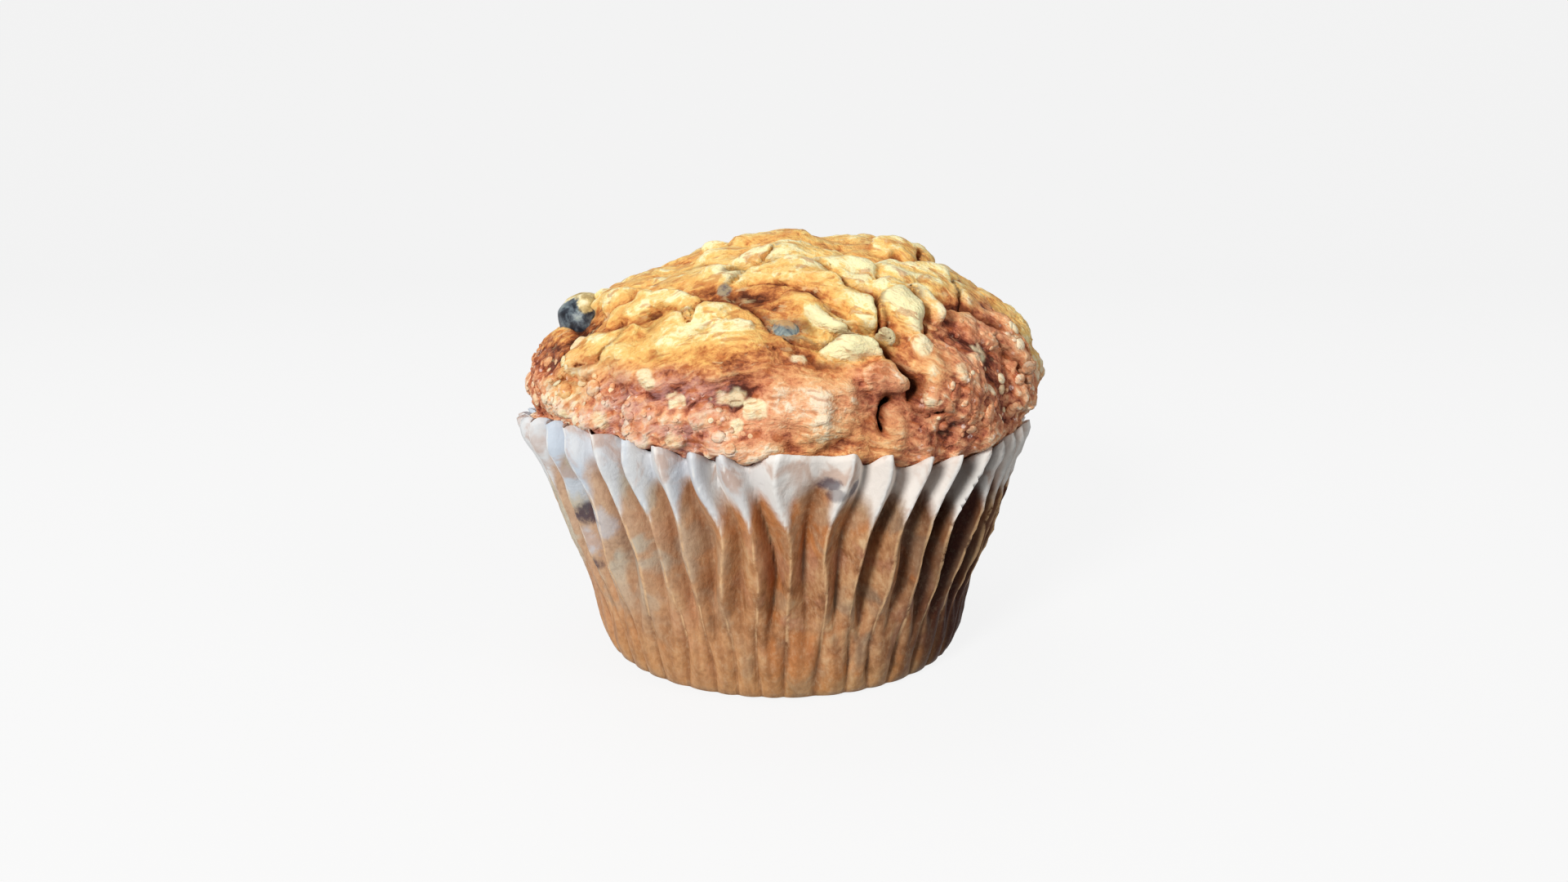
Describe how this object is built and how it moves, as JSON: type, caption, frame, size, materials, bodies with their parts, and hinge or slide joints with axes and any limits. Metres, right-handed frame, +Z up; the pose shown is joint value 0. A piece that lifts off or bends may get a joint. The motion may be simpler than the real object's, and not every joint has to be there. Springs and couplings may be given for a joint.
{
  "type": "muffin",
  "caption": "Muffin with a craggy golden-brown crown and whole berries, baked in a pleated paper case that flares from a flat round base.",
  "frame": {"origin": "centre of the flat underside of the paper case, on the surface that the muffin stands on", "axes": "+Z up out of the crown, -Y towards the front with the split and the pale ledge, +X to the right"},
  "size_m": [0.0751, 0.0753, 0.0607],
  "materials": {
    "cake": "baked crust, matt with a light sheen",
    "paper_case": "greaseproof paper, browned by the cake, dry and white at the rim",
    "berry": "baked berry skin, dark blue with a dull bloom"
  },
  "bodies": {
    "root": {"cake": "cake", "paper_case": "paper_case", "berry_left": "berry", "berry_middle": "berry", "berry_back": "berry"}
  },
  "joints": []
}
